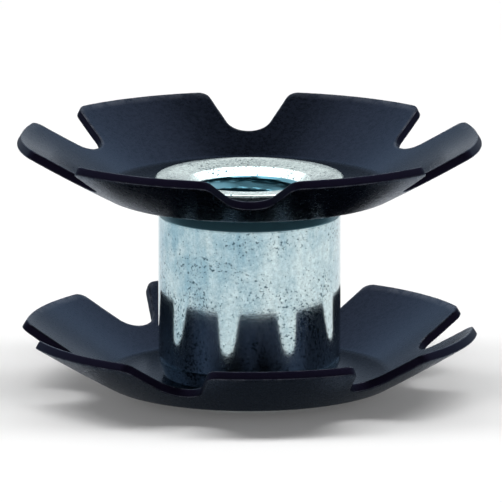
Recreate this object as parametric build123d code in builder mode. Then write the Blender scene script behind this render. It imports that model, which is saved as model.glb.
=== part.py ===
from build123d import *
import math
import os

# Star nut for a fork's steering tube: a threaded barrel with a star washer riveted to each end.
# The barrel stands on Z. z = 0 is the underside of the lower rivet head, on which the nut rests.
# Sizes are in millimetres, angles in degrees.

# Barrel
barrel_d = 10.0  # outside of the body
body_h = 10.0  # from shoulder to shoulder, between the washers
upper_bevel_h = 1.1  # height of the bevel at the body's upper end
upper_bevel_angle = 28.0  # from the axis
lower_bevel_h = 0.8  # height of the bevel at its lower end
lower_bevel_angle = 20.0
bore_d = 5.0  # crests of the M6 thread
mouth_d = 7.0  # wide end of the countersink in each rivet head
mouth_angle = 90.0  # included angle of that countersink
spigot_d = 8.2  # neck that passes through a washer
head_d = 10.4  # rivet head rolled over the washer
head_h = 0.55  # height of the rivet head above the washer
head_bevel_share = 0.3  # bevel on the head's outer edge, as a share of its height

# Star washers of one stamping, dished upwards. The lower one is sprung in a little further
sheet_t = 0.5
upper_star_d = 25.5  # free diameter over the lobes, just over the bore of the tube that they grip
lower_star_d = 25.1
upper_lobe_angle = 31.0  # slope of the lobes
lower_lobe_angle = 32.2
flat_d = 14.7  # flat centre, inside the crease
crease_r = 1.8  # bend radius on the cup side
lobe_count = 6
lobe_corner_r = 0.8
notch_mouth_w = 4.65  # between the lobes, at the rim
notch_depth = 3.3  # along the sheet, from the rim to the root
notch_root_r = 1.32  # full round at the root
upper_turn = -89.7  # a notch of the upper washer, about Z from +X
star_offset = 38.4  # turn from the upper washer to the lower one

# Fits and cuts
rivet_clearance = 0.05  # between a spigot and the washer round it, on the radius
overrun = 1.0  # by which a cut runs past the metal

# Heights along the barrel
lower_seat = head_h + sheet_t
upper_seat = lower_seat + body_h
upper_flat = upper_seat + sheet_t
nut_h = upper_flat + head_h
mouth_h = (mouth_d - bore_d) / 2 / math.tan(math.radians(mouth_angle / 2))

# Radii of the body's two shoulders, inside its bevels
upper_shoulder_r = barrel_d / 2 - upper_bevel_h * math.tan(math.radians(upper_bevel_angle))
lower_shoulder_r = barrel_d / 2 - lower_bevel_h * math.tan(math.radians(lower_bevel_angle))


def upright_plane(height, turn):
    """Plane through the barrel's axis, its x running out at this turn and its y running up."""
    outward = Vector(1, 0, 0).rotate(Axis.Z, turn)
    return Plane(origin=(0, 0, height), x_dir=outward, z_dir=outward.rotate(Axis.Z, -90))


def lobe_rim(star_d, lobe_angle):
    """Radius of the rim on the cup side, and its height over the flat. The outer corner has the star's size."""
    lobe_sin = math.sin(math.radians(lobe_angle))
    lobe_cos = math.cos(math.radians(lobe_angle))
    rim_r = star_d / 2 - sheet_t * lobe_sin
    crease_end_r = flat_d / 2 + crease_r * lobe_sin
    return rim_r, crease_r * (1 - lobe_cos) + (rim_r - crease_end_r) * lobe_sin / lobe_cos


def notch_plane(upright, rim, lobe_angle):
    """Plane that lies on a lobe's cup side, its origin on the rim and its y running out along the sheet."""
    lean = math.radians(lobe_angle)
    normal = upright.y_dir * math.cos(lean) - upright.x_dir * math.sin(lean)
    return Plane(origin=upright.from_local_coords(rim), x_dir=upright.z_dir, z_dir=normal)


os.makedirs("parts", exist_ok=True)

# Barrel: its section turned about the axis
with BuildPart() as barrel:
    with BuildSketch(upright_plane(0, 0)) as section:
        with BuildLine():
            Polyline(
                (bore_d / 2, mouth_h),
                (bore_d / 2, nut_h - mouth_h),
                (mouth_d / 2, nut_h),
                (head_d / 2, nut_h),
                (head_d / 2, upper_flat),
                (spigot_d / 2, upper_flat),
                (spigot_d / 2, upper_seat),
                (upper_shoulder_r, upper_seat),
                (barrel_d / 2, upper_seat - upper_bevel_h),
                (barrel_d / 2, lower_seat + lower_bevel_h),
                (lower_shoulder_r, lower_seat),
                (spigot_d / 2, lower_seat),
                (spigot_d / 2, head_h),
                (head_d / 2, head_h),
                (head_d / 2, 0),
                (mouth_d / 2, 0),
                close=True,
            )
        make_face()
        end_corners = section.vertices().group_by(Axis.Y)
        head_edges = [end_corners[0].sort_by(Axis.X)[-1], end_corners[-1].sort_by(Axis.X)[-1]]
        chamfer(head_edges, length=head_bevel_share * head_h)
    revolve(axis=Axis.Z)
barrel.part.label = "barrel"
export_step(barrel.part, "parts/barrel.step")

# Star washers: a dished disc, six notches cut square to the sheet, and rounded lobe corners
placings = {
    "upper_star_washer": (upper_flat, upper_turn, upper_star_d, upper_lobe_angle),
    "lower_star_washer": (lower_seat, upper_turn + star_offset, lower_star_d, lower_lobe_angle),
}
for name, (height, turn, star_d, lobe_angle) in placings.items():
    rim = lobe_rim(star_d, lobe_angle)
    uprights = [upright_plane(height, turn + 360 / lobe_count * k) for k in range(lobe_count)]
    with BuildPart() as star_washer:
        with BuildSketch(uprights[0]):
            with BuildLine():
                hole_edges = []
                rim_edges = []
                for depth in (0, sheet_t):
                    flat = Line((spigot_d / 2 + rivet_clearance, -depth), (flat_d / 2, -depth))
                    crease = JernArc(flat @ 1, flat % 1, crease_r + depth, lobe_angle)
                    lobe = Line(crease @ 1, Vector(*rim) - depth * (crease % 1).rotate(Axis.Z, 90))
                    hole_edges.append(flat @ 0)
                    rim_edges.append(lobe @ 1)
                Line(hole_edges)
                Line(rim_edges)
            make_face()
        revolve(axis=Axis.Z)
        with BuildSketch(*[notch_plane(upright, rim, lobe_angle) for upright in uprights]):
            with Locations((0, notch_root_r - notch_depth)):
                Circle(notch_root_r)
            Rectangle(notch_mouth_w, overrun, align=(Align.CENTER, Align.MIN))
            make_hull()
        extrude(amount=sheet_t + overrun, both=True, mode=Mode.SUBTRACT)
        lobe_ends = star_washer.faces().filter_by(GeomType.CONE).sort_by(SortBy.AREA)[:lobe_count]
        fillet([edge for end in lobe_ends for edge in end.edges().sort_by(SortBy.LENGTH)[:2]], lobe_corner_r)
    star_washer.part.label = name
    export_step(star_washer.part, f"parts/{name}.step")
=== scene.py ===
"""Star nut for a fork's steering tube: the visual model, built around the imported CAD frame.

A zinc-plated barrel with an M6 thread through it carries two dished, six-lobed star washers of black
spring steel, riveted to its ends. Everything is in metres, in the frame's own axes.
"""

import math

import bpy
import numpy as np
from bpy.props import FloatProperty, IntProperty, PointerProperty, StringProperty
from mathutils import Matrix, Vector


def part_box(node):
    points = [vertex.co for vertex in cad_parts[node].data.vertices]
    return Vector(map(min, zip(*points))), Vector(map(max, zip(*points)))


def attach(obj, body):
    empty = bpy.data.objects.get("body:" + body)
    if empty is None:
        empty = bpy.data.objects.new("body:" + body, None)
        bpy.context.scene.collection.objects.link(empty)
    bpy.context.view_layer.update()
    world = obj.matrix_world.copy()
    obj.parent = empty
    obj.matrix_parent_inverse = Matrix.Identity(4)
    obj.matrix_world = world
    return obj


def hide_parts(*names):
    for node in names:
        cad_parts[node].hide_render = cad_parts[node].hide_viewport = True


bl_info = {
    "name": "Star nut",
    "version": (1, 0, 0),
    "blender": (4, 5, 0),
    "location": "View3D > Sidebar > Star nut",
    "description": "Builds a star nut with a threaded barrel and two star washers, and a studio for it",
    "category": "Object",
}

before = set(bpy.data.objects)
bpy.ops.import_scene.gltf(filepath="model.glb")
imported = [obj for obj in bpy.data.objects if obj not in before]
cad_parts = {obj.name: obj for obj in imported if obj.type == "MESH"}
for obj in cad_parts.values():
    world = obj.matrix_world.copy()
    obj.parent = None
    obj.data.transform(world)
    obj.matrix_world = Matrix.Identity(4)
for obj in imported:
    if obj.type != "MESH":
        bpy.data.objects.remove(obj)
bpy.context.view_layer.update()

MM = 0.001
SHEET_T = 0.5 * MM
SMOOTH_UNDER = math.radians(35)  # edges that bend by less than this are shaded smooth
WHITE = (1.0, 1.0, 1.0, 1.0)
BARREL_LOW, BARREL_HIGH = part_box("barrel")
UPPER_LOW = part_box("upper_star_washer")[0]
LOWER_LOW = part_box("lower_star_washer")[0]


def length(name, description, default):
    """A property for a length, in metres."""
    return FloatProperty(name=name, description=description, default=default, unit="LENGTH", precision=5)


def angle(name, description, degrees):
    """A property for an angle, which Blender keeps in radians."""
    return FloatProperty(name=name, description=description, default=math.radians(degrees), subtype="ANGLE")


def level(name, description, default):
    """A property for a share or another plain number."""
    return FloatProperty(name=name, description=description, default=default)


def power(name, description, watts):
    """A property for a lamp's power."""
    return FloatProperty(name=name, description=description, default=watts, unit="POWER")


def colour(name, description, hex_value):
    """A property for an sRGB colour, kept as a hex value."""
    return StringProperty(name=name, description=description, default=hex_value)


class BarrelSizes(bpy.types.PropertyGroup):
    """Sizes of the threaded barrel."""

    height: length("Height", "Over both rivet heads", BARREL_HIGH.z - BARREL_LOW.z)
    body_d: length("Body diameter", "Outside of the body", 10.0 * MM)
    lower_shoulder: length("Lower shoulder", "Height of the lower shoulder", LOWER_LOW.z + SHEET_T)
    upper_shoulder: length("Upper shoulder", "Height of the upper shoulder", UPPER_LOW.z)
    spigot_d: length("Spigot diameter", "Neck inside a washer's hole", 8.2 * MM)
    head_d: length("Head diameter", "Rolled rivet head", BARREL_HIGH.x - BARREL_LOW.x)
    head_h: length("Head height", "Rivet head above the washer", LOWER_LOW.z)
    head_round: length("Head round", "Round of the head's outer edge", 0.2 * MM)
    crown_d: length("Crown diameter", "Inner end of the head's level crown", 9.2 * MM)
    mouth_d: length("Mouth diameter", "Wide end of the countersink", 6.8 * MM)
    mouth_drop: length("Mouth drop", "From the crown down to the countersink's edge", 0.2 * MM)
    thread_d: length("Thread diameter", "Major diameter of the thread", 6.0 * MM)
    bore_d: length("Bore diameter", "Crests of the thread", 5.0 * MM)
    pitch: length("Pitch", "Rise of the thread in one turn", 1.0 * MM)
    root_share: level("Root share", "Flat root of the thread, as a share of the pitch", 0.125)
    crest_share: level("Crest share", "Flat crest of the thread, as a share of the pitch", 0.25)
    upper_bevel_h: length("Upper bevel", "Height of the bevel at the body's upper end", 1.1 * MM)
    lower_bevel_h: length("Lower bevel", "Height of the bevel at the body's lower end", 0.8 * MM)
    upper_bevel_angle: angle("Upper bevel angle", "From the axis", 28.0)
    lower_bevel_angle: angle("Lower bevel angle", "From the axis", 20.0)
    bevel_round: length("Bevel round", "Where a bevel meets the body", 0.5 * MM)


class WasherSizes(bpy.types.PropertyGroup):
    """Sizes of the two star washers, of one stamping. The lower one is sprung in a little further."""

    upper_d: length("Upper star diameter", "Over the upper washer's lobes", 25.5 * MM)
    lower_d: length("Lower star diameter", "Over the lower washer's lobes", 25.1 * MM)
    sheet_t: length("Sheet thickness", "Of the spring steel", SHEET_T)
    hole_d: length("Hole diameter", "Round the barrel's spigot", 8.3 * MM)
    flat_d: length("Flat diameter", "Flat centre, inside the crease", 14.69 * MM)
    crease_r: length("Crease radius", "Bend radius on the cup side", 1.0 * MM)
    ring_w: length("Ring width", "Ring past the crease, before the mesh fans out to the edge", 0.6 * MM)
    upper_slope: angle("Upper slope", "Slope of the upper lobes just past the crease", 28.1)
    lower_slope: angle("Lower slope", "Slope of the lower lobes just past the crease", 29.3)
    lobe_curve_r: length("Lobe curve radius", "Gentle curve of the lobes up to the rim", 97.0 * MM)
    lobes: IntProperty(name="Lobes", description="Number of lobes", default=6, min=3, max=12)
    corner_r: length("Corner radius", "Round of the lobes' corners", 0.8 * MM)
    notch_mouth: length("Notch mouth", "Width of a notch at the rim", 4.65 * MM)
    notch_depth: length("Notch depth", "From the rim to the notch's root", 3.3 * MM)
    root_r: length("Notch root radius", "Full round at the root", 1.32 * MM)
    edge_r: length("Edge radius", "Round left on the stamped edges", 0.06 * MM)
    upper_turn: angle("Upper turn", "A notch of the upper washer, about Z from X", -89.7)
    offset_turn: angle("Offset", "Turn from the upper washer to the lower one", 38.4)


class ZincFinish(bpy.types.PropertyGroup):
    """Colours of the zinc plate, as sRGB hex values, and the sizes of its grain and marks."""

    blue: colour("Blue", "Bluish plate", "#98BBC9")
    pale: colour("Pale", "Paler plate", "#DAEBEC")
    shade: colour("Shade", "Hollows of the frosted grain", "#4A6B7B")
    pit: colour("Pits", "Dark floor of the pits", "#2F4A56")
    rolled: colour("Rolled", "Pale, matt plate on the rolled rivet heads", "#E6F7F5")
    # Painted shade: the darker colour of the bore and of the upper bevel under the upper washer, which are
    # also less glossy
    dull_painted_shade: colour("Dull", "Thin, dull plate on the thread and the upper bevel", "#446B78")
    streak_w: length("Streak width", "Of the clouds drawn out along the barrel", 0.9 * MM)
    streak_l: length("Streak length", "Of the clouds drawn out along the barrel", 4.0 * MM)
    cloud_size: length("Cloud size", "Of the round clouds", 1.6 * MM)
    # Painted light: between these two heights the plate is drawn paler towards the lower end
    painted_light_full_z: length("Palest height", "Up to which the plate is palest", 3.0 * MM)
    painted_light_none_z: length("Bluest height", "From which the plate is bluest", 8.0 * MM)
    frost_size: length("Frost size", "Of the frosted grain", 0.28 * MM)
    pit_size: length("Pit size", "Drawn a little larger than real, so that the pits show", 0.16 * MM)
    cluster_size: length("Cluster size", "Of the clusters of pits", 2.2 * MM)
    most_pits_z: length("Most pits height", "Up to which the pits lie closest", 5.0 * MM)
    fewest_pits_z: length("Fewest pits height", "From which the pits lie furthest apart", 10.0 * MM)
    scratch_l: length("Scratch length", "Of the slanting scratches", 1.0 * MM)
    scratch_reach: length("Scratch reach", "Of the scratches into the barrel", 0.4 * MM)
    scratch_w: length("Scratch width", "Of the slanting scratches", 0.09 * MM)
    scratch_lean: angle("Scratch lean", "Of the scratches, about Y", -38.0)
    turned_l: length("Turned line length", "Of the lines that turning left", 2.0 * MM)
    turned_w: length("Turned line width", "Of the lines that turning left", 0.15 * MM)
    relief_size: length("Relief size", "Of the uneven plate", 0.2 * MM)
    relief_depth: length("Relief depth", "Of the turned lines and the uneven plate", 0.01 * MM)


class OxideFinish(bpy.types.PropertyGroup):
    """Colours of the black oxide, as sRGB hex values, and the sizes of its grain."""

    body: colour("Body", "Body of the black finish", "#12161F")
    light: colour("Light", "Lighter mottling of the black finish", "#1B1F2A")
    edge: colour("Edges", "Rough, sheared edges", "#110F1C")
    # Partly wear, partly painted highlight: a lighter colour on the rounds of the stamped edges
    wear_and_highlight: colour("Rubbed", "Where the film is rubbed thin", "#363940")
    mottle_size: length("Mottle size", "Of the fine grain", 0.25 * MM)
    wear_and_highlight_patch_size: length("Rub size", "Of the patches rubbed thin", 0.6 * MM)


class StudioSettings(bpy.types.PropertyGroup):
    """Camera, floor and light."""

    elevation: angle("Elevation", "Camera's height above the horizon", 12.0)
    distance: length("Distance", "From the camera to the nut", 0.7)
    focal_mm: level("Focal length", "Of the camera's lens, in mm", 914.6)
    aim_height: length(
        "Aim height", "Height on the barrel's axis that the frame is set from",
        (UPPER_LOW.z + LOWER_LOW.z) / 2 + SHEET_T,
    )
    aim_right: length("Aim right", "Shift of the frame to the right", 0.085 * MM)
    aim_up: length("Aim up", "Shift of the frame upwards", 1.54 * MM)
    floor_colour: colour("Floor", "Pale studio floor", "#F4F4F4")
    floor_size: length("Floor size", "Side of the square floor", 6.0)
    floor_lift: level("Floor lift", "Glow that brings the floor up to white", 0.08)
    wall_top: angle("Wall top", "Height above the horizon up to which the side walls are white", 7.0)
    wall_tilt: angle("Wall tilt", "By which the walls' top leans, up at the back", 8.0)
    ceiling_start: angle("Ceiling start", "Height above the horizon from which the ceiling is dim", 56.0)
    ceiling_level: level("Ceiling level", "Light from the ceiling itself", 0.05)
    key_power: power("Key power", "Overhead softbox", 4.4)
    key_width: length("Key width", "Overhead softbox, across", 1.1)
    key_depth: length("Key depth", "Overhead softbox, from front to back", 0.23)
    key_forward: length("Key forward", "Overhead softbox, towards the viewer", 0.06)
    key_height: length("Key height", "Overhead softbox, above the floor", 0.6)
    rear_power: power("Rear power", "Each rear softbox", 2.2)
    rear_width: length("Rear width", "Each rear softbox, across", 0.7)
    rear_depth: length("Rear depth", "Each rear softbox, the other way", 0.5)
    rear_side: length("Rear side", "Each rear softbox, to its side of the nut", 0.37)
    rear_back: length("Rear back", "Each rear softbox, behind the nut", 0.37)
    rear_height: length("Rear height", "Each rear softbox, above the floor", 0.54)


def arc(centre, radius, start, end, steps):
    """Points of an arc: the centre plus the radius at angles spaced evenly from start to end, in degrees."""
    turn = np.radians(np.linspace(start, end, steps + 1))
    return np.column_stack([centre[0] + radius * np.cos(turn), centre[1] + radius * np.sin(turn)])


def run(start, end, steps):
    """Points spaced evenly along a straight run, both ends included."""
    share = np.linspace(0, 1, steps + 1)[:, None]
    return (1 - share) * np.array(start) + share * np.array(end)


def joined(*paths):
    """The paths one after the other, without points that repeat the one before."""
    points = np.concatenate(paths)
    step = np.linalg.norm(np.diff(points, axis=0), axis=1)
    return points[np.concatenate([[True], step > 1e-6 * MM])]


def wrapped_mesh(name, points):
    """Closed mesh of a grid that wraps both ways: each face joins a point, its next row and next column.

    The signed volume, a sixth of the sum of a . (b x c) over the faces' halves, tells which way they point.
    """
    index = np.arange(points.shape[0] * points.shape[1]).reshape(points.shape[:2])
    over = np.roll(index, -1, axis=0)
    corners = [index, np.roll(index, -1, axis=1), np.roll(over, -1, axis=1), over]
    quads = np.stack(corners, axis=-1).reshape(-1, 4)
    flat = points.reshape(-1, 3)
    a, b, c, d = (flat[quads[:, k]] for k in range(4))
    volume = np.sum(a * np.cross(b, c)) + np.sum(a * np.cross(c, d))
    if volume < 0:
        quads = quads[:, ::-1]
    mesh = bpy.data.meshes.new(name)
    mesh.from_pydata(flat.tolist(), [], quads.tolist())
    mesh.polygons.foreach_set("use_smooth", np.ones(len(quads), bool))
    mesh.set_sharp_from_angle(angle=SMOOTH_UNDER)
    mesh.update()
    return mesh


def paint(mesh, name, share):
    """Stores a share at each point of a mesh, for its material to read."""
    mesh.attributes.new(name, "FLOAT", "POINT").data.foreach_set("value", share.ravel().astype(float))


def add_piece(name, mesh, node, material):
    """Puts a finished mesh into the scene in place of its CAD node, riding on the one body."""
    piece = bpy.data.objects.new(name, mesh)
    bpy.context.scene.collection.objects.link(piece)
    mesh.materials.append(material)
    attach(piece, "root")
    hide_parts(node)


def head_outline(sizes):
    """Outline of the upper rivet head, as (radius, height) from the mouth's edge to the body's shoulder.

    A shallow slope up to the crown, the crown, a quarter round, the head's side and underside, the spigot.
    """
    top = sizes.height
    seat = top - sizes.head_h
    head = sizes.head_d / 2
    crown = sizes.crown_d / 2
    spigot = sizes.spigot_d / 2
    round_start = head - sizes.head_round
    round_end = top - sizes.head_round
    return joined(
        run((sizes.mouth_d / 2, top - sizes.mouth_drop), (crown, top), steps=6),
        run((crown, top), (round_start, top), steps=4),
        arc((round_start, round_end), sizes.head_round, 90, 0, steps=8),
        run((head, round_end), (head, seat), steps=2),
        run((head, seat), (spigot, seat), steps=3),
        run((spigot, seat), (spigot, sizes.upper_shoulder), steps=2),
    )


def bevelled_end(body, shoulder, bevel_h, lean, bevel_round, up):
    """Outline of one end of the body from its shoulder: the bevel, and a small round into the body's side.

    The round touches both lines at a distance of its radius times the tangent of half the bevel's angle.
    """
    reach = bevel_round * math.tan(lean / 2)
    centre = (body - bevel_round, shoulder - up * (bevel_h + reach))
    turned = arc(centre, bevel_round, up * math.degrees(lean), 0, steps=6)
    return joined(run((body - bevel_h * math.tan(lean), shoulder), turned[0], steps=4), turned)


def barrel_outside(sizes):
    """Outline of the barrel outside its bore, from the upper mouth's edge down to the lower mouth's edge."""
    body = sizes.body_d / 2
    upper_head = head_outline(sizes)
    lower_head = upper_head[::-1] * [1, -1] + [0, sizes.height]
    upper_end = bevelled_end(
        body, sizes.upper_shoulder, sizes.upper_bevel_h, sizes.upper_bevel_angle, sizes.bevel_round, up=1
    )
    lower_end = bevelled_end(
        body, sizes.lower_shoulder, sizes.lower_bevel_h, sizes.lower_bevel_angle, sizes.bevel_round, up=-1
    )[::-1]
    return joined(upper_head, upper_end, run(upper_end[-1], lower_end[0], steps=30), lower_end, lower_head)


def barrel_inside(sizes, height, turn):
    """Radius of the bore at a height and turn: a right-hand thread with a countersink at each end.

    The thread is a trapezoid of the phase, height / pitch - turn / 2 pi: a flat root, straight flanks at
    about 60 degrees to each other, and a flat crest. Each countersink is a cone of 90 degrees, on which the
    radius falls as fast as the height.
    """
    phase = height / sizes.pitch - turn / (2 * np.pi)
    from_root = np.abs(phase - np.round(phase))
    flank_end = (1 - sizes.crest_share) / 2
    share = np.clip((flank_end - from_root) / (flank_end - sizes.root_share / 2), 0, 1)
    thread = sizes.bore_d / 2 + (sizes.thread_d - sizes.bore_d) / 2 * share
    upper_cone = sizes.mouth_d / 2 - (sizes.height - sizes.mouth_drop - height)
    lower_cone = sizes.mouth_d / 2 - (height - sizes.mouth_drop)
    return np.maximum(thread, np.maximum(upper_cone, lower_cone))


def barrel_points(sizes, columns=160, rows_per_pitch=20):
    """Grid of the barrel, and which of its points lie in the bore, on a rolled head and on the upper bevel.

    Rows run once round its section, columns once round its axis. A point is in the bore where the thread,
    and not a countersink, sets its radius. The rolled heads are what lies outside the washers.
    """
    outside = barrel_outside(sizes)
    inner_rows = int(sizes.height / sizes.pitch * rows_per_pitch)
    inner_z = np.linspace(sizes.mouth_drop, sizes.height - sizes.mouth_drop, inner_rows)[1:-1]
    turn = np.linspace(0, 2 * np.pi, columns, endpoint=False)
    height = np.concatenate([outside[:, 1], inner_z])[:, None] + 0 * turn
    inside = barrel_inside(sizes, inner_z[:, None], turn[None, :])
    radius = np.concatenate([outside[:, :1] + 0 * turn, inside])
    points = np.stack([radius * np.cos(turn), radius * np.sin(turn), height], axis=-1)
    below_mouth = np.minimum(height, sizes.height - height) - sizes.mouth_drop
    in_bore = (below_mouth > (sizes.mouth_d - sizes.thread_d) / 2) & (radius < sizes.mouth_d / 2)
    outside_washer = below_mouth < sizes.head_h - sizes.mouth_drop
    on_head = ~in_bore & ((radius < sizes.spigot_d / 2) | outside_washer)
    bevel_foot = sizes.upper_shoulder - sizes.upper_bevel_h
    on_bevel = (height > bevel_foot) & (radius > sizes.spigot_d / 2) & ~on_head
    return points, in_bore, on_head, on_bevel


def dish_profile(sizes, star_d, crease_slope, table_share=0.6, table_steps=6000):
    """Tables of a washer's cup side by distance along the sheet: radius, height over the flat, and slope.

    The slope is zero on the flat, rises evenly through the crease, and then by 1 / lobe_curve_r up to the
    rim. Radius and height are the sums of its cosine and sine. The rim is where the sheet's outer corner
    reaches the star's radius. The tables run a little past it, to a share of the star's diameter.
    """
    along = np.linspace(0, star_d * table_share, table_steps + 1)
    crease_start = sizes.flat_d / 2
    crease_end = crease_start + sizes.crease_r * crease_slope
    slope = np.clip((along - crease_start) / sizes.crease_r, 0, crease_slope)
    slope = slope + np.clip(along - crease_end, 0, None) / sizes.lobe_curve_r
    step = along[1] - along[0]
    middle = (slope[1:] + slope[:-1]) / 2
    radius = np.concatenate([[0], np.cumsum(np.cos(middle) * step)])
    height = np.concatenate([[0], np.cumsum(np.sin(middle) * step)])
    outer = radius + sizes.sheet_t * np.sin(slope)
    rim = np.interp(star_d / 2, outer, along)
    return along, radius, height, slope, rim


def half_lobe(sizes, rim, rim_radius, lobe_slope, rim_steps=18):
    """Half a notch and half a lobe of the blank's outline, as turn and distance along the sheet.

    From the notch's middle: the root's arc, the straight side that touches it, the corner's arc, the rim.
    x runs across the notch and y out along the sheet from the rim. The turn is counted from the notch.
    """
    root = np.array([0, sizes.root_r - sizes.notch_depth])
    mouth = np.array([sizes.notch_mouth / 2, 0])
    reach = np.linalg.norm(mouth - root)
    lean = math.atan2(mouth[1] - root[1], mouth[0]) - math.acos(sizes.root_r / reach)
    touch = root + sizes.root_r * np.array([math.cos(lean), math.sin(lean)])
    side = (mouth - touch) / np.linalg.norm(mouth - touch)
    half_corner = math.acos(np.dot(-side, [1, 0])) / 2
    tangent = sizes.corner_r / math.tan(half_corner)
    centre = mouth + np.array([tangent, -sizes.corner_r])
    path = joined(
        arc(root, sizes.root_r, -90, math.degrees(lean), steps=14),
        run(touch, mouth - side * tangent, steps=6),
        arc(centre, sizes.corner_r, 180 + math.degrees(lean), 90, steps=10),
    )
    turn = np.arcsin(path[:, 0] / (rim_radius + path[:, 1] * math.cos(lobe_slope)))
    rim_turn = np.linspace(turn[-1], math.pi / sizes.lobes, rim_steps + 1)[1:]
    return np.concatenate([turn, rim_turn]), np.concatenate([rim + path[:, 1], np.full(rim_steps, rim)])


def star_outline(sizes, rim, rim_radius, lobe_slope):
    """The blank's whole outline: a half lobe, its mirror image, and their copies round the axis."""
    turn, along = half_lobe(sizes, rim, rim_radius, lobe_slope)
    step = 2 * math.pi / sizes.lobes
    turn = np.concatenate([turn, step - turn[-2:0:-1]])
    along = np.concatenate([along, along[-2:0:-1]])
    turns = (turn[None, :] + step * np.arange(sizes.lobes)[:, None]).ravel()
    return turns, np.tile(along, sizes.lobes)


def steps_inward(turn, along, local_radius):
    """Turn and distance along the sheet that lead a unit inwards from the outline, square to it.

    The outline's own direction at a point runs from the point before it to the point after it.
    """
    back = np.roll(turn, 1)
    back[0] -= 2 * math.pi
    ahead = np.roll(turn, -1)
    ahead[-1] += 2 * math.pi
    across = (ahead - back) * local_radius
    out = np.roll(along, -1) - np.roll(along, 1)
    size = np.hypot(across, out)
    return out / size / local_radius, -across / size


def edge_section(sizes):
    """Section of the stamped edge, as (distance inwards, depth): the sheared wall between two rounds."""
    turned = arc((sizes.edge_r, sizes.edge_r), sizes.edge_r, 270, 180, steps=4)
    wall = run((0, sizes.edge_r), (0, sizes.sheet_t - sizes.edge_r), steps=3)
    return joined(turned, wall, turned[::-1] * [1, -1] + [0, sizes.sheet_t])


def star_points(sizes, star_d, crease_slope, flat_height, start_turn):
    """Grid of a star washer, and at each point the shares of sheared edge and of that edge's corners.

    Columns follow the blank's outline. Rows run once round the sheet's section: along the cup side from the
    hole to the edge, round the edge, and back along the underside. A row is a distance along the sheet, a
    turn and a depth in the sheet, which the dish's profile carries into space.
    """
    table, radius, height, slope, rim = dish_profile(sizes, star_d, crease_slope)
    rim_radius = np.interp(rim, table, radius)
    turn, along = star_outline(sizes, rim, rim_radius, np.interp(rim, table, slope))
    inward_turn, inward_along = steps_inward(turn, along, np.interp(along, table, radius))
    edge = edge_section(sizes)
    edge_along = along + edge[:, :1] * inward_along
    edge_turn = turn + edge[:, :1] * inward_turn

    flat_end = sizes.flat_d / 2
    fan_start = flat_end + sizes.crease_r * crease_slope + sizes.ring_w
    inner = joined(
        run((sizes.hole_d / 2, 0), (flat_end, 0), steps=6),
        run((flat_end, 0), (fan_start, 0), steps=12),
    )[:, :1]
    fan = run((0,), (1,), steps=10)[1:-1]
    top_along = np.concatenate([inner + 0 * turn, (1 - fan) * fan_start + fan * edge_along[0]])
    top_turn = np.concatenate([0 * inner + turn, (1 - fan) * turn + fan * edge_turn[0]])
    rows_along = np.concatenate([top_along, edge_along, top_along[::-1]])
    rows_turn = np.concatenate([top_turn, edge_turn, top_turn[::-1]])
    top_rows = len(top_along)
    depth = np.concatenate([np.zeros(top_rows), edge[:, 1], np.full(top_rows, sizes.sheet_t)])[:, None]

    lean = np.interp(rows_along, table, slope)
    reach = np.interp(rows_along, table, radius) + depth * np.sin(lean)
    rise = flat_height + np.interp(rows_along, table, height) - depth * np.cos(lean)
    angle_at = rows_turn + start_turn
    points = np.stack([reach * np.cos(angle_at), reach * np.sin(angle_at), rise], axis=-1)

    inwards = edge[:, :1]
    edge_rows = slice(top_rows, top_rows + len(edge))
    sheared = np.zeros(rows_along.shape)
    sheared[edge_rows] = inwards == 0
    # Rounds of the stamped edge, drawn lighter: partly wear, partly a painted highlight
    wear_and_highlight = np.zeros(rows_along.shape)
    wear_and_highlight[edge_rows] = (inwards > 0) & (inwards < sizes.edge_r)
    return points, sheared, wear_and_highlight


def linear(hex_value):
    """Linear colour of an sRGB hex value: up to 0.04045 divided by 12.92, above it the 2.4 power curve."""
    srgb = [int(hex_value[k:k + 2], 16) / 255 for k in (1, 3, 5)]
    return [c / 12.92 if c <= 0.04045 else ((c + 0.055) / 1.055) ** 2.4 for c in srgb] + [1.0]


def add_node(tree, kind, output, inputs, **settings):
    """Adds a shader node with its settings, sets or links its inputs, and gives one of its outputs."""
    node = tree.nodes.new("ShaderNode" + kind)
    for name, value in settings.items():
        setattr(node, name, value)
    for name, value in inputs.items():
        if isinstance(value, bpy.types.NodeSocket):
            tree.links.new(value, node.inputs[name])
        else:
            node.inputs[name].default_value = value
    return None if output is None else node.outputs[output]


def new_material(name):
    """An empty node material, and its node tree."""
    material = bpy.data.materials.new(name)
    material.use_nodes = True
    material.node_tree.nodes.clear()
    return material, material.node_tree


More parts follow.
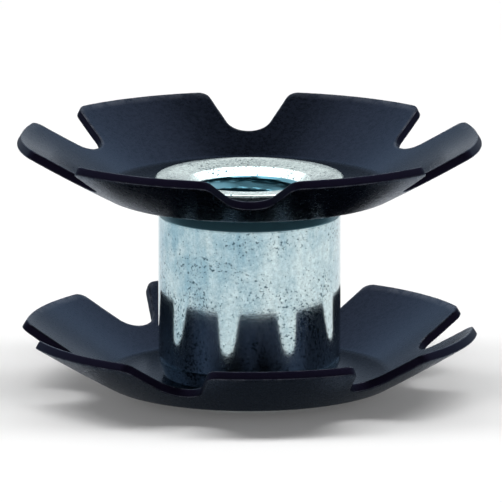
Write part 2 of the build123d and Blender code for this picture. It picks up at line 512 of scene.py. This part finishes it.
def zinc_plate(zinc, body_d):
    """Bright zinc plate over turned steel: a bluish, nearly mirror-like metal with a frosted grain.

    Clouds drawn out along the axis shift it between blue and pale, and it is paler on the +X side.
    Painted light makes it paler towards the lower end. Dark pits lie in clusters, with a few short
    slanting scratches. The pits are drawn a little larger than real, so that they show. On the rolled
    heads the plate is pale and matt. In the bore and on the upper bevel, under the upper washer, the
    plate is less glossy, and its darker colour there is painted shade.
    """
    material, tree = new_material("bright_zinc_plated_steel")
    place = add_node(tree, "TexCoord", "Object", {})
    across = add_node(tree, "SeparateXYZ", "X", {"Vector": place})
    height = add_node(tree, "SeparateXYZ", "Z", {"Vector": place})
    in_bore = add_node(tree, "Attribute", "Fac", {}, attribute_name="bore")
    on_head = add_node(tree, "Attribute", "Fac", {}, attribute_name="rolled_head")
    on_bevel = add_node(tree, "Attribute", "Fac", {}, attribute_name="bevel")
    # The bore and the upper bevel under the upper washer: less glossy plate, and a darker colour of painted
    # shade
    painted_shade_dull_mask = add_node(tree, "Math", "Value", {0: in_bore, 1: on_bevel}, operation="MAXIMUM")

    # Clouds of blue and pale plate, paler on the +X side, with painted light that pales the lower end
    drawn_out = add_node(
        tree, "Mapping", "Vector",
        {"Vector": place, "Scale": (zinc.streak_w, zinc.streak_w, zinc.streak_l)}, vector_type="TEXTURE",
    )
    streaks = add_node(
        tree, "TexNoise", "Fac",
        {"Vector": drawn_out, "Scale": 1.0, "Detail": 4.0, "Roughness": 0.6},
    )
    clouds = add_node(
        tree, "TexNoise", "Fac",
        {"Vector": place, "Scale": 1 / zinc.cloud_size, "Detail": 5.0, "Roughness": 0.7},
    )
    by_side = add_node(
        tree, "MapRange", "Result",
        {"Value": across, "From Min": -body_d / 2, "From Max": body_d / 2,
         "To Min": -0.16, "To Max": 0.16},
    )
    # Painted light: paler towards the lower end
    painted_light_by_height = add_node(
        tree, "MapRange", "Result",
        {"Value": height, "From Min": zinc.painted_light_full_z, "From Max": zinc.painted_light_none_z,
         "To Min": 0.25, "To Max": 0.0},
    )
    clouds_and_painted_light = streaks
    for share in (clouds, by_side, painted_light_by_height):
        clouds_and_painted_light = add_node(tree, "Math", "Value", {0: clouds_and_painted_light, 1: share}, operation="ADD")
    clouds_and_painted_light = add_node(tree, "MapRange", "Result", {"Value": clouds_and_painted_light, "From Min": 0.7, "From Max": 1.3})

    # Frosted grain
    frost = add_node(
        tree, "TexNoise", "Fac",
        {"Vector": place, "Scale": 1 / zinc.frost_size, "Detail": 6.0, "Roughness": 1.0},
    )
    hollows = add_node(
        tree, "MapRange", "Result",
        {"Value": frost, "From Min": 0.34, "From Max": 0.62, "To Min": 0.6, "To Max": 0.0},
    )

    # Pits in clusters, a few more on the rolled heads, and scratches
    specks = add_node(
        tree, "TexNoise", "Fac",
        {"Vector": place, "Scale": 1 / zinc.pit_size, "Detail": 3.0, "Roughness": 0.7},
    )
    clusters = add_node(
        tree, "TexNoise", "Fac",
        {"Vector": place, "Scale": 1 / zinc.cluster_size, "Detail": 3.0, "Roughness": 0.6},
    )
    clusters = add_node(
        tree, "MapRange", "Result",
        {"Value": clusters, "From Min": 0.35, "From Max": 0.7, "To Min": -0.08, "To Max": 0.05},
    )
    fewer_above = add_node(
        tree, "MapRange", "Result",
        {"Value": height, "From Min": zinc.most_pits_z, "From Max": zinc.fewest_pits_z,
         "To Min": 0.02, "To Max": -0.03},
    )
    more_on_heads = add_node(tree, "Math", "Value", {0: on_head, 1: 0.04}, operation="MULTIPLY")
    for share in (clusters, fewer_above, more_on_heads):
        specks = add_node(tree, "Math", "Value", {0: specks, 1: share}, operation="ADD")
    pits = add_node(
        tree, "MapRange", "Result",
        {"Value": specks, "From Min": 0.565, "From Max": 0.62, "To Min": 0.0, "To Max": 0.95},
    )
    slanted = add_node(
        tree, "Mapping", "Vector",
        {"Vector": place, "Rotation": (0.0, zinc.scratch_lean, 0.0),
         "Scale": (zinc.scratch_l, zinc.scratch_reach, zinc.scratch_w)}, vector_type="TEXTURE",
    )
    scratches = add_node(
        tree, "TexNoise", "Fac",
        {"Vector": slanted, "Scale": 1.0, "Detail": 2.0, "Roughness": 0.6},
    )
    scratches = add_node(
        tree, "MapRange", "Result",
        {"Value": scratches, "From Min": 0.7, "From Max": 0.8, "To Min": 0.0, "To Max": 0.7},
    )
    marks = add_node(tree, "Math", "Value", {0: pits, 1: scratches}, operation="MAXIMUM")

    # Each layer of colour lies over the one before it
    # Among the layers, the darker colour of the bore and the upper bevel is painted shade
    layers = (
        (clouds_and_painted_light, zinc.pale), (on_head, zinc.rolled), (hollows, zinc.shade),
        (marks, zinc.pit), (painted_shade_dull_mask, zinc.dull_painted_shade),
    )
    tint = linear(zinc.blue)
    for share, over in layers:
        tint = add_node(tree, "Mix", 2, {0: share, 6: tint, 7: linear(over)}, data_type="RGBA")

    # Sheen, dulled on the heads, in the bore and on the bevel
    roughness = add_node(
        tree, "MapRange", "Result",
        {"Value": frost, "From Min": 0.35, "From Max": 0.65, "To Min": 0.14, "To Max": 0.09},
    )
    for share, most in ((on_head, 0.255), (painted_shade_dull_mask, 0.3)):
        dulled = add_node(tree, "Math", "Value", {0: share, 1: most}, operation="MULTIPLY")
        roughness = add_node(tree, "Math", "Value", {0: roughness, 1: dulled}, operation="MAXIMUM")
    metallic = add_node(tree, "MapRange", "Result", {"Value": on_bevel, "To Min": 1.0, "To Max": 0.65})

    # Lines left by turning, on a slightly uneven plate
    wound = add_node(
        tree, "Mapping", "Vector",
        {"Vector": place, "Scale": (zinc.turned_l, zinc.turned_l, zinc.turned_w)}, vector_type="TEXTURE",
    )
    turned = add_node(
        tree, "TexNoise", "Fac",
        {"Vector": wound, "Scale": 1.0, "Detail": 2.0, "Roughness": 0.6},
    )
    uneven = add_node(
        tree, "TexNoise", "Fac",
        {"Vector": place, "Scale": 1 / zinc.relief_size, "Detail": 1.0, "Roughness": 0.6},
    )
    relief = add_node(tree, "Math", "Value", {0: turned, 1: 0.8, 2: uneven}, operation="MULTIPLY_ADD")
    normal = add_node(
        tree, "Bump", "Normal", {"Height": relief, "Strength": 0.15, "Distance": zinc.relief_depth}
    )

    surface = add_node(
        tree, "BsdfPrincipled", "BSDF",
        {"Base Color": tint, "Metallic": metallic, "Roughness": roughness, "Normal": normal},
    )
    add_node(tree, "OutputMaterial", None, {"Surface": surface})
    return material


def black_oxide(oxide):
    """Black oxide on stamped spring steel: a thin, satin, slightly bluish black film, finely mottled.

    The sheared edges are duller. Along their corners the colour is lighter in patches: partly the film worn
    thin, partly a painted highlight.
    """
    material, tree = new_material("black_oxide_spring_steel")
    place = add_node(tree, "TexCoord", "Object", {})
    on_edge = add_node(tree, "Attribute", "Fac", {}, attribute_name="sheared_edge")
    on_corner = add_node(tree, "Attribute", "Fac", {}, attribute_name="worn_and_highlit_edge")
    mottle = add_node(
        tree, "TexNoise", "Fac",
        {"Vector": place, "Scale": 1 / oxide.mottle_size, "Detail": 5.0, "Roughness": 0.8},
    )
    lightness = add_node(tree, "MapRange", "Result", {"Value": mottle, "From Min": 0.35, "From Max": 0.65})
    patches = add_node(
        tree, "TexNoise", "Fac",
        {"Vector": place, "Scale": 1 / oxide.wear_and_highlight_patch_size, "Detail": 3.0, "Roughness": 0.6},
    )
    patches = add_node(
        tree, "MapRange", "Result",
        {"Value": patches, "From Min": 0.4, "From Max": 0.6, "To Min": 0.2, "To Max": 1.0},
    )
    # Lighter rounds of the edges, in patches: partly the film worn thin, partly a painted highlight
    wear_and_highlight = add_node(tree, "Math", "Value", {0: on_corner, 1: patches}, operation="MULTIPLY")

    # Each layer of colour lies over the one before it
    tint = linear(oxide.body)
    for share, over in ((lightness, oxide.light), (on_edge, oxide.edge), (wear_and_highlight, oxide.wear_and_highlight)):
        tint = add_node(tree, "Mix", 2, {0: share, 6: tint, 7: linear(over)}, data_type="RGBA")

    sheen = add_node(
        tree, "MapRange", "Result",
        {"Value": mottle, "From Min": 0.3, "From Max": 0.7, "To Min": 0.24, "To Max": 0.32},
    )
    dulled = add_node(tree, "Math", "Value", {0: on_edge, 1: 0.5}, operation="MULTIPLY")
    roughness = add_node(tree, "Math", "Value", {0: sheen, 1: dulled}, operation="MAXIMUM")
    surface = add_node(
        tree, "BsdfPrincipled", "BSDF",
        {"Base Color": tint, "Metallic": 1.0, "Roughness": roughness,
         "Specular Tint": (0.58, 0.63, 0.7, 1.0)},
    )
    add_node(tree, "OutputMaterial", None, {"Surface": surface})
    return material


def studio_floor(studio):
    """Plain pale painted floor, matt, so that it keeps the nut's soft shadow.

    To the camera, in mirrors and through glass it also glows a little, which brings its lit part up to the
    white of the background.
    """
    material, tree = new_material("pale_studio_floor")
    seen = add_node(tree, "LightPath", "Is Camera Ray", {})
    for ray in ("Is Glossy Ray", "Is Transmission Ray"):
        also_seen = add_node(tree, "LightPath", ray, {})
        seen = add_node(tree, "Math", "Value", {0: seen, 1: also_seen}, operation="MAXIMUM")
    lift = add_node(tree, "Math", "Value", {0: seen, 1: studio.floor_lift}, operation="MULTIPLY")
    surface = add_node(
        tree, "BsdfPrincipled", "BSDF",
        {"Base Color": linear(studio.floor_colour), "Roughness": 0.9, "Specular IOR Level": 0.0,
         "Emission Color": WHITE, "Emission Strength": lift},
    )
    add_node(tree, "OutputMaterial", None, {"Surface": surface})
    return material


def studio_world(studio):
    """Light from all round, and the backdrop: white walls that fade into a dim ceiling."""
    world = bpy.data.worlds.new("studio_light")
    world.use_nodes = True
    tree = world.node_tree
    tree.nodes.clear()
    way = add_node(tree, "TexCoord", "Generated", {})
    upward = (0.0, -math.sin(studio.wall_tilt), math.cos(studio.wall_tilt))
    rise = add_node(tree, "VectorMath", "Value", {0: way, 1: upward}, operation="DOT_PRODUCT")
    strength = add_node(
        tree, "MapRange", "Result",
        {"Value": rise, "From Min": math.sin(studio.wall_top), "From Max": math.sin(studio.ceiling_start),
         "To Min": 1.0, "To Max": studio.ceiling_level}, interpolation_type="SMOOTHSTEP",
    )
    light = add_node(tree, "Background", "Background", {"Color": WHITE, "Strength": strength})
    add_node(tree, "OutputWorld", None, {"Surface": light})
    return world


def add_softbox(name, place, width, depth, power):
    """A rectangular softbox that faces the foot of the nut."""
    lamp = bpy.data.lights.new(name, "AREA")
    lamp.shape = "RECTANGLE"
    lamp.size = width
    lamp.size_y = depth
    lamp.energy = power
    softbox = bpy.data.objects.new(name, lamp)
    softbox.location = place
    softbox.rotation_euler = Vector(place).to_track_quat("Z", "Y").to_euler()
    bpy.context.scene.collection.objects.link(softbox)
    return softbox


def add_camera(studio):
    """A camera that looks down on the nut at the studio's elevation, its frame shifted right and up."""
    back = Vector((0, -math.cos(studio.elevation), math.sin(studio.elevation)))
    up = Vector((0, math.sin(studio.elevation), math.cos(studio.elevation)))
    aim = Vector((studio.aim_right, 0, studio.aim_height)) + up * studio.aim_up
    camera = bpy.data.objects.new("camera", bpy.data.cameras.new("camera"))
    camera.data.lens = studio.focal_mm
    camera.location = aim + back * studio.distance
    camera.rotation_euler = (-back).to_track_quat("-Z", "Y").to_euler()
    bpy.context.scene.collection.objects.link(camera)
    return camera


class STARNUT_OT_barrel(bpy.types.Operator):
    """Builds the threaded barrel with its rolled rivet heads."""

    bl_idname = "starnut.barrel"
    bl_label = "Build the barrel"

    def execute(self, context):
        scene = context.scene
        sizes = scene.starnut_barrel
        points, in_bore, on_head, on_bevel = barrel_points(sizes)
        mesh = wrapped_mesh("threaded_barrel", points)
        paint(mesh, "bore", in_bore)
        paint(mesh, "rolled_head", on_head)
        paint(mesh, "bevel", on_bevel)
        material = zinc_plate(scene.starnut_zinc, sizes.body_d)
        add_piece("threaded_barrel", mesh, "barrel", material)
        return {"FINISHED"}


class STARNUT_OT_washers(bpy.types.Operator):
    """Builds the two star washers."""

    bl_idname = "starnut.washers"
    bl_label = "Build the star washers"

    def execute(self, context):
        scene = context.scene
        sizes = scene.starnut_washer
        material = black_oxide(scene.starnut_oxide)
        lower_turn = sizes.upper_turn + sizes.offset_turn
        placings = (
            ("upper_star", UPPER_LOW.z + sizes.sheet_t, sizes.upper_turn, sizes.upper_d, sizes.upper_slope),
            ("lower_star", LOWER_LOW.z + sizes.sheet_t, lower_turn, sizes.lower_d, sizes.lower_slope),
        )
        for name, flat_height, turn, star_d, crease_slope in placings:
            points, sheared, wear_and_highlight = star_points(sizes, star_d, crease_slope, flat_height, turn)
            mesh = wrapped_mesh(name, points)
            paint(mesh, "sheared_edge", sheared)
            paint(mesh, "worn_and_highlit_edge", wear_and_highlight)
            add_piece(name, mesh, name + "_washer", material)
        return {"FINISHED"}


class STARNUT_OT_studio(bpy.types.Operator):
    """Sets up the floor, the light and the camera."""

    bl_idname = "starnut.studio"
    bl_label = "Set up the studio"

    def execute(self, context):
        scene = context.scene
        studio = scene.starnut_studio
        half = studio.floor_size / 2
        corners = [(-half, -half, 0), (half, -half, 0), (half, half, 0), (-half, half, 0)]
        mesh = bpy.data.meshes.new("studio_floor")
        mesh.from_pydata(corners, [], [(0, 1, 2, 3)])
        mesh.materials.append(studio_floor(studio))
        floor = bpy.data.objects.new("studio_floor", mesh)
        scene.collection.objects.link(floor)

        scene.world = studio_world(studio)
        overhead = (0, -studio.key_forward, studio.key_height)
        add_softbox("overhead_softbox", overhead, studio.key_width, studio.key_depth, studio.key_power)
        for name, side in (("left_rear_softbox", -1), ("right_rear_softbox", 1)):
            behind = (side * studio.rear_side, studio.rear_back, studio.rear_height)
            softbox = add_softbox(name, behind, studio.rear_width, studio.rear_depth, studio.rear_power)
            softbox.visible_diffuse = False  # it shows in the metal alone and leaves the floor as it is

        scene.camera = add_camera(studio)
        scene.view_settings.view_transform = "Standard"
        return {"FINISHED"}


class STARNUT_PT_panel(bpy.types.Panel):
    """Lists the star nut's sizes, finishes and builders."""

    bl_idname = "STARNUT_PT_panel"
    bl_label = "Star nut"
    bl_space_type = "VIEW_3D"
    bl_region_type = "UI"
    bl_category = "Star nut"

    def draw(self, context):
        layout = self.layout
        for name in GROUPS:
            group = getattr(context.scene, name)
            box = layout.box()
            for prop in group.__annotations__:
                box.prop(group, prop)
        for operator in OPERATORS:
            layout.operator(operator.bl_idname)


GROUPS = {
    "starnut_barrel": BarrelSizes,
    "starnut_washer": WasherSizes,
    "starnut_zinc": ZincFinish,
    "starnut_oxide": OxideFinish,
    "starnut_studio": StudioSettings,
}
OPERATORS = (STARNUT_OT_barrel, STARNUT_OT_washers, STARNUT_OT_studio)


def register():
    """Registers the classes and hangs the settings on the scene."""
    for name, group in GROUPS.items():
        bpy.utils.register_class(group)
        setattr(bpy.types.Scene, name, PointerProperty(type=group))
    for operator in OPERATORS:
        bpy.utils.register_class(operator)
    bpy.utils.register_class(STARNUT_PT_panel)


def unregister():
    """Takes the settings off the scene and unregisters the classes."""
    bpy.utils.unregister_class(STARNUT_PT_panel)
    for operator in reversed(OPERATORS):
        bpy.utils.unregister_class(operator)
    for name, group in GROUPS.items():
        delattr(bpy.types.Scene, name)
        bpy.utils.unregister_class(group)


def main():
    """Builds the nut and its studio."""
    register()
    bpy.ops.starnut.barrel()
    bpy.ops.starnut.washers()
    bpy.ops.starnut.studio()


if __name__ == "__main__":
    main()
